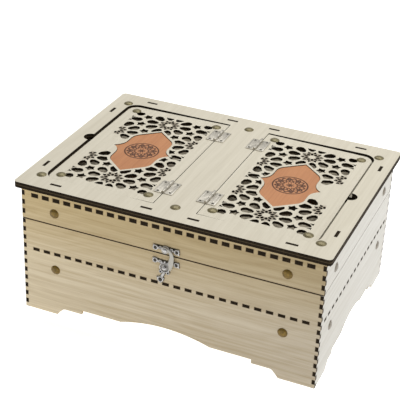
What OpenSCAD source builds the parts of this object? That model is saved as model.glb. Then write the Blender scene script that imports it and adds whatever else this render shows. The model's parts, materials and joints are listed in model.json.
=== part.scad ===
// Hinged sheet-wood book box: finger-jointed walls, a double-layer lid top with two fretwork doors,
// a hook latch at the front and low dome nails. Millimetres, Z up, origin under the middle of the box.

/* [Overall] */
// Outside width across the two side walls
box_w = 300; // [285:1:330]
// Outside depth across the front and back walls
box_d = 217; // [208:1:236]
// Height of the base walls
base_h = 100; // [90:1:120]
// Height of the lid from the base walls up to the top layers
lid_h = 35; // [30:1:44]
// Thickness of every wooden sheet
sheet = 3; // [2.7:0.1:3.3]
// How far the top reaches past the side walls
overhang_x = 5; // [3:0.5:8]
// How far the top reaches past the front and back walls
overhang_y = 6; // [5.6:0.1:8]
// Corner radius of the two top layers
top_r = 4; // [2:0.5:8]
// Free gap between the base walls and the lid walls
split_gap = 0.9; // [0.3:0.05:1.2]

/* [Finger joints and tabs] */
// Finger steps up each base corner
base_fingers = 22; // [14:2:26]
// Finger steps up each lid corner
lid_fingers = 7; // [4:1:8]
// Height of the underside of the floor panel
floor_z = 67; // [40:1:72]
// Length of one tab of the floor panel
tab_w = 6.5; // [4:0.5:7.5]
// Length of one tab of the ceiling panel
lid_tab_w = 7; // [4:0.5:7.5]
// Thickness of the ceiling panel
ceil_t = 4; // [3:0.25:4.5]
// Tabs along the front and the back of each panel
tabs_front = 25; // [11:2:27]
// Tabs along each side of each panel
tabs_side = 18; // [8:1:19]
// Clearance round a tab or a nail in its hole
fit = 0.05; // [0.02:0.01:0.1]
// Height of the inner strips that carry the top
strip_h = 6; // [5:0.5:9]
// Length of the strip tabs that show on the top
strip_tab = 11.4; // [8:0.2:14]

/* [Feet and arches] */
// Width of each foot along the front
foot_w = 35.3; // [26:0.1:45]
// Width of each foot along the sides
side_foot_w = 30.5; // [24:0.1:36]
// Height of the arch between the feet
arch_h = 19.5; // [15:0.5:24]

/* [Doors in the top] */
// Width of the frame in front of the doors and behind them
frame_w = 21; // [19:0.5:23]
// Width of the frame beside the doors
frame_side = 19.5; // [18.5:0.5:22]
// Width of the fixed strip between the doors
strip_w = 42; // [38:0.5:46]
// Corner radius of the door openings on their outer side
door_r = 12.5; // [9:0.5:14]
// Gap at the hinged edge of a door
gap_in = 0.7; // [0.5:0.05:1]
// Gap at the free edge of a door
gap_out = 2.4; // [1.6:0.1:3.2]
// Gap at the front edge of a door
gap_front = 0.6; // [0.5:0.1:1.2]
// Gap at the back edge of a door
gap_back = 2.6; // [0.8:0.1:3.2]
// Free height between a door and the ledge under it
rest_gap = 0.3; // [0.3:0.02:0.5]
// How far a closed door sinks at its free edge
dip = 1.5; // [0.5:0.1:1.8]
// Width of the ledge that carries a door
ledge_w = 4; // [3:0.25:5]
// Radius of the finger notch beside each door
notch_r = 7; // [5:0.25:8.5]
// Place of the finger notches behind the middle of the top
notch_y = 1.5; // [-4:0.5:4]

/* [Fretwork] */
// Distance between two rosettes along a door
rosette = 64.6; // [60:0.2:68]
// Width of the ribs between the holes
rib = 2.4; // [2:0.1:3]
// Plain border on the hinged side of a door
fret_in = 12.1; // [10.4:0.1:14]
// Plain border on the free side of a door
fret_out = 11.5; // [9.7:0.1:13]
// Plain border on the short sides of a door
fret_end = 10.6; // [9.4:0.1:14]
// Width of the medallion window
medal_w = 60.5; // [54:0.5:62]
// Height of the medallion window
medal_h = 94; // [84:0.5:96]
// How far the medallion plate reaches under the fretwork
medal_lap = 2; // [1.5:0.1:3]
// Clearance between the raised middle of the medallion and its window
medal_fit = 0.35; // [0.3:0.05:0.9]
// How far the raised middle stays below the door
medal_low = 0.6; // [0.3:0.05:1.2]

/* [Door hinges] */
// Length of a door hinge
hinge_l = 23; // [18:0.5:26]
// Width of a door hinge laid flat
hinge_w = 18.6; // [17:0.2:20]
// Thickness of a door hinge leaf
hinge_t = 0.8; // [0.6:0.05:1]
// Outer radius of a door hinge knuckle
knuckle_r = 1.4; // [1.2:0.05:1.7]
// Radius of a door hinge pin
pin_r = 0.7; // [0.5:0.05:0.85]

/* [Rear hinges] */
// Length of a rear hinge
rear_l = 30; // [24:0.5:36]
// Height of one rear hinge leaf
rear_h = 14; // [11:0.5:16]
// Thickness of a rear hinge leaf
rear_t = 1; // [0.8:0.1:1.2]
// Outer radius of a rear hinge knuckle
rear_r = 2; // [1.7:0.05:2.2]
// Radius of a rear hinge pin
rear_pin_r = 1; // [0.8:0.05:1.2]

/* [Latch] */
// Sideways place of the latch
latch_x = 0; // [-6:0.5:6]
// Half of the distance between the two lobes of a latch plate
lobe_x = 10.6; // [9.8:0.1:12]
// Thickness of the latch plates and of the hook
latch_t = 1; // [0.8:0.05:1.1]
// Radius of the latch rivet
rivet_r = 1.2; // [0.9:0.05:1.5]

/* [Nails] */
// Diameter of a dome nail head
dome_d = 9.5; // [7:0.25:10]
// Height of a dome nail head
dome_h = 1.8; // [1.2:0.1:2.4]
// Diameter of a dome nail shank
shank_d = 1.6; // [1.2:0.1:1.8]

/* [Hidden] */
$fn = 48;
free = 0.3;
lid_z = base_h + split_gap;
wall_top = base_h + lid_h;
top_z = wall_top + 2 * sheet;
lid_wall_h = wall_top - lid_z;
ceil_z = wall_top - strip_h - ceil_t;
in_w = box_w - 2 * sheet;
in_d = box_d - 2 * sheet;
top_w = box_w + 2 * overhang_x;
top_d = box_d + 2 * overhang_y;
pitch_front = (box_w - 28) / (tabs_front - 1);
pitch_side = (box_d - 24.4) / (tabs_side - 1);
open_x0 = strip_w / 2;
open_x1 = top_w / 2 - frame_side;
open_y = top_d / 2 - frame_w;
door_x0 = open_x0 + gap_in;
door_x1 = open_x1 - gap_out;
door_y0 = -open_y + gap_front;
door_y1 = open_y - gap_back;
door_cy = (door_y0 + door_y1) / 2;
door_t = sheet - rest_gap;
door_z = top_z - door_t;
ledge_t = sheet - dip;
fret_x = (door_x1 - fret_out - door_x0 - fret_in) / 2;
fret_cx = (door_x1 - fret_out + door_x0 + fret_in) / 2;
fret_y = (door_y1 - door_y0) / 2 - fret_end;
nail_x = box_w / 2 - 34.5;
nail_y = box_d / 2 - 30.5;
base_nail_z = floor_z - 15.9;
lid_nail_z = lid_z + 12;
door_nail_y = open_y - 12.5;
frame_nail_x = top_w / 2 - 17;
frame_nail_y = top_d / 2 - 23.1;
tab_x0 = box_w / 2 - 34.3;
tab_x1 = 23.1;
tab_y = box_d / 2 - 39;
hinge_y = open_y - 32;
hinge_ax = open_x0 + gap_in / 2;
hinge_az = top_z + free + knuckle_r;
dip_a = asin(dip / (door_x1 - hinge_ax));
leaf_off = knuckle_r + 0.35;
hinge_nail_x = hinge_w / 2 - 3.1;
hinge_nail_y = hinge_l / 2 - 2.7;
rear_x = box_w * 0.3;
rear_ay = box_d / 2 + free + rear_r;
rear_az = base_h + split_gap / 2;
rear_off = rear_r + 0.4;
pivot_x = latch_x - 0.5;
pivot_z = lid_z + 5.2;
stud_x = latch_x - 1;
stud_z = base_h - 13.2;
lobe_up = lid_z + 5.3;
lobe_dn = base_h - 7.3;
hook_off = latch_t + 1.2;
pin_fit = 0.05;
tack_d = 1.2;
tack_head = 2.6;
screw_d = 1.8;
screw_head = 3.8;
screw_x = rear_l / 2 - 5;
screw_z = rear_h - 4;
lobe_r = 3.1;
bead_x = 5.4;
stud_pad = 6.2;
tail_x = latch_x - 5;
tail_z = base_h - 26.6;
tail_r = 4.4;

// Girih lengths, all from the distance between two rosettes.
edge = rosette / (2 * sin(36)) / (1 + 1 / sin(18));
dec_in = edge / (2 * tan(18));
pent_in = edge / (2 * tan(36));
half_link = rosette / (4 * sin(36));
lat_x = rosette / (2 * tan(36));
petal_y = dec_in * sin(18);
star_d = dec_in + pent_in;
star_k = (pent_in * cos(72) - 0.455 * rib) / (pent_in * cos(72));
star_waist = 0.62;
petal_low = 0.171 * rosette;
petal_mid = 0.232 * rosette;

// A vector of a given length at a given angle.
function polar(r, a) = [r * cos(a), r * sin(a)];

// Unit normal on the left of the line from a to b.
function left_of(a, b) = [a[1] - b[1], b[0] - a[0]] / norm(b - a);

// A counter-clockwise outline drawn in by d on every side.
function drawn_in(p, d) = [
    for (i = [0 : len(p) - 1])
        let (n = len(p))
        let (u = left_of(p[(i + n - 1) % n], p[i]))
        let (v = left_of(p[i], p[(i + 1) % n]))
        p[i] + d * (u + v) / (1 + u * v)
];

// Point t along a curve that leaves a towards b and arrives at c.
function bend(a, b, c, t) = (1 - t) * (1 - t) * a + 2 * t * (1 - t) * b + t * t * c;

// Right upper quarter of the medallion outline, widened by m.
function medal_quarter(m) =
    let (a = medal_w / 2 + 1.3 * m)
    let (b = medal_h / 2 + 1.3 * m)
    let (w = medal_w * 0.363 + m)
    concat(
        [for (k = [0 : 5]) bend([a, 0], [w, 0.1 * b], [w, 0.31 * b], k / 5)],
        [for (k = [0 : 5]) bend([w, 0.46 * b], [w, 0.6 * b], [0.76 * w, 0.69 * b], k / 5)],
        [[0, b]]
    );

// Full medallion outline, counter-clockwise.
function medal_outline(m) =
    let (q = medal_quarter(m))
    let (n = len(q))
    concat(
        q,
        [for (k = [n - 2 : -1 : 0]) [-q[k][0], q[k][1]]],
        [for (k = [1 : n - 1]) [-q[k][0], -q[k][1]]],
        [for (k = [n - 2 : -1 : 1]) [q[k][0], -q[k][1]]]
    );

// Half width of the medallion window at a height.
function medal_half(v) =
    let (y = abs(v) / (medal_h / 2))
    let (w = medal_w * 0.363)
    y > 0.69 ? 0.76 * w * (1 - y) / 0.31 :
    y > 0.31 ? w :
    w + (medal_w / 2 - w) * pow(1 - y / 0.31, 2);

// Upper edge of a petal hole from its blunt inner end to its tip, before the ribs are taken off.
function petal_edge() = [
    polar(petal_low, 9),
    polar(petal_mid, 18),
    [0.98 * dec_in, 0.93 * petal_y],
    [half_link - 0.09 * rosette, 0.93 * petal_y],
    [half_link - 0.042 * rosette, 0.55 * petal_y]
];

// A petal hole on its own rosette axis.
function petal() =
    let (e = petal_edge())
    let (n = len(e))
    drawn_in(concat(
        [for (k = [0 : n - 1]) [e[k][0], -e[k][1]]],
        [[half_link - 0.024 * rosette, 0]],
        [for (k = [n - 1 : -1 : 0]) e[k]]
    ), rib / 2);

// The same petal turned round, pointing away from its rosette.
function far_petal() = let (p = petal()) [
    for (k = [len(p) - 1 : -1 : 0]) [2 * half_link - p[k][0], p[k][1]]
];

// Five-pointed star hole.
function star() = [
    for (k = [0 : 9])
        polar(pent_in * star_k * (k % 2 == 0 ? 1 : star_waist), 198 + 36 * k)
];

// Three-pointed hole beside the middle of a lattice cell.
function dart() =
    let (b = rosette / 2 - dec_in)
    let (x = lat_x - half_link - pent_in * cos(18))
    let (c = (b - petal_y) * tan(18))
    drawn_in([[0, 0], [-x, -petal_y], [-c, -petal_y], [0, -b], [c, -petal_y], [x, -petal_y]], rib / 2);

// One of the ten small holes of the ring next to a rosette centre.
function bead() = [
    polar(0.062 * rosette, -9),
    polar(0.062 * rosette, 9),
    polar(0.0945 * rosette, 15.3),
    polar(0.124 * rosette, 5),
    polar(0.124 * rosette, -5),
    polar(0.0945 * rosette, -15.3)
];

// One of the ten pointed holes of the next ring, each between two beads.
function spike() = [
    polar(0.113 * rosette, 0),
    polar(0.138 * rosette, 10.5),
    polar(0.152 * rosette, 7.5),
    polar(0.184 * rosette, 0),
    polar(0.152 * rosette, -7.5),
    polar(0.138 * rosette, -10.5)
];

// True where a hole keeps enough of itself inside the fretwork field of a door.
function kept(c, out) =
    abs(c[0]) < fret_x + out && abs(c[1]) < fret_y + out
    && abs(c[0]) > medal_half(c[1]) + 1.2
    && !(c[0] > 0.28 * rosette && abs(c[1]) < 0.11 * rosette + 0.45 * (c[0] - 0.28 * rosette));

// Points turned by a and moved by c.
function placed(p, a, c) = [
    for (q = p) [q[0] * cos(a) - q[1] * sin(a) + c[0], q[0] * sin(a) + q[1] * cos(a) + c[1]]
];

// Every fretwork hole of the right-hand door, as outlines round the door centre.
function fret_list() = [
    for (i = [-2 : 2])
        for (j = [-4 : 4])
            if ((i + j + 8) % 2 == 0)
                let (c = [i * lat_x, j * rosette / 2])
                each concat(
                    [for (k = [0 : 9]) if (kept(c + polar(0.27 * rosette, 36 * k), 0.5))
                        placed(petal(), 36 * k, c)],
                    [for (k = [0 : 5 : 5]) if (kept(c + polar(0.55 * rosette, 36 * k), 0.5))
                        placed(far_petal(), 36 * k, c)],
                    [for (a = [18, 54, -54, -18]) if (kept(c + polar(star_d, a), -1.2))
                        placed(star(), a - 18, c + polar(star_d, a))],
                    [for (k = [0 : 9]) if (kept(c + polar(0.095 * rosette, 36 * k), -0.5))
                        placed(bead(), 36 * k, c)],
                    [for (k = [0 : 9]) if (kept(c + polar(0.144 * rosette, 36 * k + 18), -0.5))
                        placed(spike(), 36 * k + 18, c)],
                    [for (s = [0, 180]) if (kept(c + [lat_x, s < 90 ? -5 : 5], 1))
                        placed(dart(), s, c + [lat_x, 0])]
                )
];

module fret_holes() {
    intersection() {
        difference() {
            square([2 * fret_x, 2 * fret_y], center = true);
            polygon(medal_outline(rib));
        }
        union() {
            for (p = fret_list()) polygon(p);
        }
    }
}

// Low dome nail standing on z = 0 with its shank below.
module nail(d, h, sd, sl) {
    ball = (d * d / 4 + h * h) / (2 * h);
    union() {
        intersection() {
            translate([0, 0, h - ball]) sphere(ball);
            translate([-d, -d, 0]) cube([2 * d, 2 * d, h + 1]);
        }
        translate([0, 0, -sl]) cylinder(d = sd, h = sl + h / 3);
    }
}

module dome_nail() {
    nail(dome_d, dome_h, shank_d, sheet - 0.5);
}

// Puts a flat drawing in x and z on the front wall, reaching out from y by t.
module upright(y, t) {
    translate([0, y, 0]) rotate([90, 0, 0]) linear_extrude(t) children();
}

// Puts a flat drawing in y and z against a side wall, reaching from x towards +x by t.
module sideways(x, t) {
    translate([x, 0, 0]) rotate([90, 0, 90]) linear_extrude(t) children();
}

// Notches at both ends of a wall where the neighbour's fingers come through.
module finger_cuts(w, h, n, first) {
    for (i = [first : 2 : n - 1]) {
        for (s = [-1, 1]) {
            translate([s * w / 2 - sheet, i * h / n]) square([2 * sheet, h / n]);
        }
    }
}

// A row of slots for panel tabs, centred on height z.
module tab_slots(n, pitch, z, w, t) {
    for (i = [0 : n - 1]) {
        translate([(i - (n - 1) / 2) * pitch, z])
            square([w + 2 * fit, t + 2 * fit], center = true);
    }
}

// Open shape under a wall, from floor level up, symmetrical about zero.
module arch(half) {
    low = arch_h * 0.41;
    mid = arch_h * 0.63;
    cord = half * 0.4;
    rise = arch_h - mid;
    big = (cord * cord + rise * rise) / (2 * rise);
    union() {
        polygon([[half, 0], [half - 4, 5], [-half + 4, 5], [-half, 0], [-half, -2], [half, -2]]);
        translate([-half + 9, -1]) square([2 * half - 18, low + 1]);
        translate([-half + 4, -1]) square([2 * half - 8, low - 4]);
        for (s = [-1, 1]) {
            translate([s * (half - 9), low - 5]) circle(5);
        }
        translate([-half * 0.765, -1]) square([half * 1.53, mid + 1]);
        intersection() {
            translate([0, arch_h - big]) circle(big);
            translate([-cord - 5, 0]) square([2 * cord + 10, arch_h + 5]);
        }
    }
}

module round_rect(w, d, r) {
    union() {
        square([w - 2 * r, d], center = true);
        square([w, d - 2 * r], center = true);
        for (sx = [-1, 1]) {
            for (sy = [-1, 1]) {
                translate([sx * (w / 2 - r), sy * (d / 2 - r)]) circle(r);
            }
        }
    }
}

// Door-shaped outline with rounded corners on its outer side.
module door_shape(x0, x1, y0, y1, r) {
    union() {
        translate([x0, y0]) square([x1 - x0 - r, y1 - y0]);
        translate([x0, y0 + r]) square([x1 - x0, y1 - y0 - 2 * r]);
        translate([x1 - r, y0 + r]) circle(r);
        translate([x1 - r, y1 - r]) circle(r);
    }
}

// Holes in a wall for its own two dome nails.
module nail_holes(x, z) {
    for (s = [-1, 1]) {
        translate([s * x, z]) circle(d = shank_d + 2 * fit);
    }
}

module base_wide_wall() {
    difference() {
        translate([-box_w / 2, 0]) square([box_w, base_h]);
        finger_cuts(box_w, base_h, base_fingers, 1);
        tab_slots(tabs_front, pitch_front, floor_z + sheet / 2, tab_w, sheet);
        arch(box_w / 2 - foot_w);
        nail_holes(nail_x, base_nail_z);
    }
}

module base_side_wall() {
    difference() {
        translate([-box_d / 2, 0]) square([box_d, base_h]);
        finger_cuts(box_d, base_h, base_fingers, 0);
        tab_slots(tabs_side, pitch_side, floor_z + sheet / 2, tab_w, sheet);
        arch(box_d / 2 - side_foot_w);
        nail_holes(nail_y, base_nail_z);
    }
}

module lid_wide_wall() {
    difference() {
        translate([-box_w / 2, 0]) square([box_w, lid_wall_h]);
        finger_cuts(box_w, lid_wall_h, lid_fingers, 1);
        tab_slots(tabs_front, pitch_front, ceil_z + ceil_t / 2 - lid_z, lid_tab_w, ceil_t);
        nail_holes(nail_x, lid_nail_z - lid_z);
    }
}

module lid_side_wall() {
    difference() {
        translate([-box_d / 2, 0]) square([box_d, lid_wall_h]);
        finger_cuts(box_d, lid_wall_h, lid_fingers, 0);
        tab_slots(tabs_side, pitch_side, ceil_z + ceil_t / 2 - lid_z, lid_tab_w, ceil_t);
        nail_holes(nail_y, lid_nail_z - lid_z);
    }
}

module base_front_wall() {
    color("burlywood") upright(-box_d / 2 + sheet, sheet) difference() {
        base_wide_wall();
        latch_lower_holes();
    }
}

module base_back_wall() {
    color("burlywood") upright(box_d / 2, sheet) difference() {
        base_wide_wall();
        rear_holes(-1);
    }
}

module base_left_wall() {
    color("burlywood") sideways(-box_w / 2, sheet) base_side_wall();
}

module base_right_wall() {
    color("burlywood") sideways(box_w / 2 - sheet, sheet) base_side_wall();
}

module lid_front_wall() {
    color("burlywood") upright(-box_d / 2 + sheet, sheet) difference() {
        translate([0, lid_z]) lid_wide_wall();
        latch_upper_holes();
    }
}

module lid_back_wall() {
    color("burlywood") upright(box_d / 2, sheet) difference() {
        translate([0, lid_z]) lid_wide_wall();
        rear_holes(1);
    }
}

module lid_left_wall() {
    color("burlywood") translate([0, 0, lid_z]) sideways(-box_w / 2, sheet) lid_side_wall();
}

module lid_right_wall() {
    color("burlywood") translate([0, 0, lid_z]) sideways(box_w / 2 - sheet, sheet) lid_side_wall();
}

// A panel between the walls with tabs reaching through all four of them.
module tabbed_panel(z, w, t) {
    translate([0, 0, z]) linear_extrude(t) union() {
        square([in_w, in_d], center = true);
        for (i = [0 : tabs_front - 1]) {
            translate([(i - (tabs_front - 1) / 2) * pitch_front, 0]) square([w, box_d], center = true);
        }
        for (i = [0 : tabs_side - 1]) {
            translate([0, (i - (tabs_side - 1) / 2) * pitch_side]) square([box_w, w], center = true);
        }
    }
}

module floor_panel() {
    color("wheat") tabbed_panel(floor_z, tab_w, sheet);
}

module ceiling_panel() {
    color("wheat") tabbed_panel(ceil_z, lid_tab_w, ceil_t);
}

// Strip standing on the ceiling panel, with tabs up through both top layers.
module wide_strip(s) {
    y = s * (in_d / 2 - sheet / 2);
    translate([0, y - sheet / 2, 0]) union() {
        translate([-in_w / 2, 0, wall_top - strip_h]) cube([in_w, sheet, strip_h]);
        for (x = [-tab_x0, -tab_x1, tab_x1, tab_x0]) {
            translate([x - strip_tab / 2, 0, wall_top - 1]) cube([strip_tab, sheet, top_z - wall_top + 1]);
        }
    }
}

module side_strip(s) {
    x = s * (in_w / 2 - sheet / 2);
    run = in_d - 2 * sheet;
    translate([x - sheet / 2, 0, 0]) union() {
        translate([0, -run / 2, wall_top - strip_h]) cube([sheet, run, strip_h]);
        for (y = [-tab_y, tab_y]) {
            translate([0, y - strip_tab / 2, wall_top - 1]) cube([sheet, strip_tab, top_z - wall_top + 1]);
        }
    }
}

module front_strip() {
    color("wheat") wide_strip(-1);
}

module back_strip() {
    color("wheat") wide_strip(1);
}

module left_strip() {
    color("wheat") side_strip(-1);
}

module right_strip() {
    color("wheat") side_strip(1);
}

// Slots in the two top layers for the strip tabs.
module top_slots() {
    for (s = [-1, 1]) {
        for (x = [-tab_x0, -tab_x1, tab_x1, tab_x0]) {
            translate([x, s * (in_d / 2 - sheet / 2)])
                square([strip_tab + 2 * fit, sheet + 2 * fit], center = true);
        }
        for (y = [-tab_y, tab_y]) {
            translate([s * (in_w / 2 - sheet / 2), y])
                square([sheet + 2 * fit, strip_tab + 2 * fit], center = true);
        }
    }
}

// One door opening, and its mirror image, drawn smaller by a ledge.
module openings(ledge) {
    for (s = [0, 1]) {
        mirror([s, 0]) union() {
            door_shape(open_x0 + ledge, open_x1 - ledge, -open_y + ledge, open_y - ledge, door_r - ledge);
            translate([open_x1, notch_y]) circle(notch_r);
        }
    }
}

module lower_frame() {
    color("tan") translate([0, 0, wall_top]) difference() {
        linear_extrude(sheet) difference() {
            round_rect(top_w, top_d, top_r);
            openings(ledge_w);
            top_slots();
        }
        translate([0, 0, ledge_t]) linear_extrude(sheet) openings(0);
    }
}

module top_panel() {
    color("burlywood") translate([0, 0, wall_top + sheet]) linear_extrude(sheet) difference() {
        round_rect(top_w, top_d, top_r);
        openings(0);
        top_slots();
        frame_nail_places() circle(d = shank_d + 2 * fit);
        for (s = [-1, 1]) {
            leaf_nail_places(s, -1) circle(d = tack_d + 2 * fit);
        }
    }
}

// Puts its drawing at the six nails of the frame.
module frame_nail_places() {
    for (x = [-frame_nail_x, 0, frame_nail_x]) {
        for (y = [-frame_nail_y, frame_nail_y]) {
            translate([x, y]) children();
        }
    }
}

// Puts its drawing at the four nails of one door, on side s.
module door_nail_places(s) {
    for (x = [open_x0 + 11, open_x1 - 12.5]) {
        for (y = [-door_nail_y, door_nail_y]) {
            translate([s * x, y]) children();
        }
    }
}

// Puts its drawing at the small nails of the hinges on side s; out is 1 on the door, -1 on the strip.
module leaf_nail_places(s, out) {
    for (y = [-hinge_y, hinge_y]) {
        for (k = [-1, 1]) {
            translate([s * (hinge_ax + out * hinge_nail_x), y + k * hinge_nail_y]) children();
        }
    }
}

// Lets a door and all it carries sink at the free edge, turning about the hinge on side s.
module dipped(s) {
    translate([s * hinge_ax, 0, hinge_az]) rotate([0, s * dip_a, 0])
        translate([-s * hinge_ax, 0, -hinge_az]) children();
}

module door(s) {
    translate([0, 0, door_z]) linear_extrude(door_t) difference() {
        mirror([s < 0 ? 1 : 0, 0]) difference() {
            door_shape(door_x0, door_x1, door_y0, door_y1, door_r - gap_out);
            translate([fret_cx, door_cy]) fret_holes();
            translate([fret_cx, door_cy]) polygon(medal_outline(0));
        }
        door_nail_places(s) circle(d = shank_d + 2 * fit);
        leaf_nail_places(s, 1) circle(d = tack_d + 2 * fit);
    }
}

module medallion(s) {
    translate([s * fret_cx, door_cy, door_z - sheet]) union() {
        linear_extrude(sheet) polygon(medal_outline(medal_lap));
        linear_extrude(sheet + door_t - medal_low) polygon(medal_outline(-medal_fit));
    }
}

module left_door() {
    color("burlywood") dipped(-1) door(-1);
}

module right_door() {
    color("burlywood") dipped(1) door(1);
}

module left_medallion() {
    color("peru") dipped(-1) medallion(-1);
}

module right_medallion() {
    color("peru") dipped(1) medallion(1);
}

module base_nails() {
    color("darkkhaki") {
        for (x = [-nail_x, nail_x]) {
            translate([x, -box_d / 2, base_nail_z]) rotate([90, 0, 0]) dome_nail();
            translate([x, box_d / 2, base_nail_z]) rotate([-90, 0, 0]) dome_nail();
        }
        for (y = [-nail_y, nail_y]) {
            translate([box_w / 2, y, base_nail_z]) rotate([0, 90, 0]) dome_nail();
            translate([-box_w / 2, y, base_nail_z]) rotate([0, -90, 0]) dome_nail();
        }
    }
}

module lid_nails() {
    color("darkkhaki") {
        for (x = [-nail_x, nail_x]) {
            translate([x, -box_d / 2, lid_nail_z]) rotate([90, 0, 0]) dome_nail();
            translate([x, box_d / 2, lid_nail_z]) rotate([-90, 0, 0]) dome_nail();
        }
        for (y = [-nail_y, nail_y]) {
            translate([box_w / 2, y, lid_nail_z]) rotate([0, 90, 0]) dome_nail();
            translate([-box_w / 2, y, lid_nail_z]) rotate([0, -90, 0]) dome_nail();
        }
    }
}

module frame_nails() {
    color("darkkhaki") translate([0, 0, top_z]) frame_nail_places() dome_nail();
}

module left_door_nails() {
    color("darkkhaki") dipped(-1) translate([0, 0, top_z]) door_nail_places(-1) dome_nail();
}

module right_door_nails() {
    color("darkkhaki") dipped(1) translate([0, 0, top_z]) door_nail_places(1) dome_nail();
}

// A hinge leaf with its knuckles, the axis along Y through the origin, the plate on the -x side at depth z0.
module leaf(l, w, t, r, hole_r, off, z0, parts, nx, ny, nr) {
    difference() {
        union() {
            translate([-w, -l / 2, z0]) cube([w - off, l, t]);
            for (p = parts) {
                translate([-off - 0.5, p[0], z0]) cube([off + 0.5, p[1] - p[0], t]);
                translate([0, p[0], 0]) rotate([-90, 0, 0]) cylinder(r = r, h = p[1] - p[0]);
            }
        }
        translate([0, -l / 2 - 1, 0]) rotate([-90, 0, 0]) cylinder(r = hole_r, h = l + 2);
        for (k = [-1, 1]) {
            translate([-nx, k * ny, z0 - 1]) cylinder(r = nr, h = t + 2);
        }
    }
}

// Knuckle spans along the axis: the two ends, or the middle one.
function end_spans(l) = [[-l / 2, -l / 6 - 0.15], [l / 6 + 0.15, l / 2]];
function mid_span(l) = [[-l / 6 + 0.15, l / 6 - 0.15]];

module frame_leaf(s, y) {
    color("silver") translate([s * hinge_ax, y, hinge_az]) mirror([s < 0 ? 1 : 0, 0, 0])
        leaf(hinge_l, hinge_w / 2, hinge_t, knuckle_r, pin_r + pin_fit, leaf_off, -knuckle_r - free,
            end_spans(hinge_l), hinge_nail_x, hinge_nail_y, tack_d / 2 + fit);
}

module door_leaf(s, y) {
    color("silver") dipped(s) translate([s * hinge_ax, y, hinge_az]) mirror([s > 0 ? 1 : 0, 0, 0])
        leaf(hinge_l, hinge_w / 2, hinge_t, knuckle_r, pin_r + pin_fit, leaf_off, -knuckle_r - free,
            mid_span(hinge_l), hinge_nail_x, hinge_nail_y, tack_d / 2 + fit);
}

module left_front_frame_leaf() {
    frame_leaf(-1, -hinge_y);
}

module left_back_frame_leaf() {
    frame_leaf(-1, hinge_y);
}

module right_front_frame_leaf() {
    frame_leaf(1, -hinge_y);
}

module right_back_frame_leaf() {
    frame_leaf(1, hinge_y);
}

module left_front_door_leaf() {
    door_leaf(-1, -hinge_y);
}

module left_back_door_leaf() {
    door_leaf(-1, hinge_y);
}

module right_front_door_leaf() {
    door_leaf(1, -hinge_y);
}

module right_back_door_leaf() {
    door_leaf(1, hinge_y);
}

module door_hinge_pins() {
    color("silver") for (s = [-1, 1]) {
        for (y = [-hinge_y, hinge_y]) {
            translate([s * hinge_ax, y - hinge_l / 2, hinge_az]) rotate([-90, 0, 0]) cylinder(r = pin_r, h = hinge_l);
        }
    }
}

// Small hinge nail with its head on the leaf.
module leaf_nail() {
    nail(tack_head, 0.5, tack_d, hinge_t + sheet - 0.8);
}

module frame_leaf_nails() {
    color("silver") translate([0, 0, top_z + hinge_t]) for (s = [-1, 1]) {
        leaf_nail_places(s, -1) leaf_nail();
    }
}

module left_leaf_nails() {
    color("silver") dipped(-1) translate([0, 0, top_z + hinge_t]) leaf_nail_places(-1, 1) leaf_nail();
}

module right_leaf_nails() {
    color("silver") dipped(1) translate([0, 0, top_z + hinge_t]) leaf_nail_places(1, 1) leaf_nail();
}

// A rear hinge leaf at x, standing up the back wall for up = 1 and down it for up = -1.
module rear_leaf(x, up) {
    spans = up > 0 ? mid_span(rear_l) : end_spans(rear_l);
    color("silver") translate([x, rear_ay, rear_az]) rotate([0, 0, 90]) rotate([0, up > 0 ? 90 : -90, 0])
        mirror([0, 0, up > 0 ? 0 : 1])
            leaf(rear_l, rear_h, rear_t, rear_r, rear_pin_r + pin_fit, rear_off, -rear_r - free,
                spans, screw_z, screw_x, screw_d / 2 + fit);
}

module left_rear_base_leaf() {
    rear_leaf(-rear_x, -1);
}

module right_rear_base_leaf() {
    rear_leaf(rear_x, -1);
}

module left_rear_lid_leaf() {
    rear_leaf(-rear_x, 1);
}

module right_rear_lid_leaf() {
    rear_leaf(rear_x, 1);
}

module rear_hinge_pins() {
    color("silver") for (x = [-rear_x, rear_x]) {
        translate([x - rear_l / 2, rear_ay, rear_az]) rotate([0, 90, 0]) cylinder(r = rear_pin_r, h = rear_l);
    }
}

// Puts its drawing at the rear hinge screws, in x and z, above the split for up = 1.
module rear_places(up) {
    for (x = [-rear_x, rear_x]) {
        for (k = [-1, 1]) {
            translate([x + k * screw_x, rear_az + up * screw_z]) children();
        }
    }
}

module rear_holes(up) {
    rear_places(up) circle(d = screw_d + 2 * fit);
}

module rear_screws(up) {
    color("silver") for (x = [-rear_x, rear_x]) {
        for (k = [-1, 1]) {
            translate([x + k * screw_x, box_d / 2 + rear_t, rear_az + up * screw_z])
                rotate([-90, 0, 0]) nail(screw_head, 0.8, screw_d, rear_t + sheet - 0.5);
        }
    }
}

module rear_base_screws() {
    rear_screws(-1);
}

module rear_lid_screws() {
    rear_screws(1);
}

// Both lobe places of a latch plate at height z.
module lobe_places(z) {
    for (s = [-1, 1]) {
        translate([latch_x + s * lobe_x, z]) children();
    }
}

module latch_upper_holes() {
    lobe_places(lobe_up) circle(d = tack_d + 2 * fit);
    translate([pivot_x, pivot_z]) circle(r = rivet_r + fit);
}

module latch_lower_holes() {
    lobe_places(lobe_dn) circle(d = tack_d + 2 * fit);
    translate([tail_x, tail_z]) circle(d = tack_d + 2 * fit);
}

module latch_upper_plate() {
    color("silver") upright(-box_d / 2, latch_t) difference() {
        union() {
            translate([pivot_x, pivot_z]) circle(4.1);
            lobe_places(lobe_up) circle(lobe_r);
            translate([latch_x - lobe_x, lobe_up - 1.6]) square([2 * lobe_x, 3]);
            for (s = [-1, 1]) {
                translate([latch_x + s * bead_x, lobe_up + 1.2]) circle(1.7);
            }
        }
        latch_upper_holes();
    }
}

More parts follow.
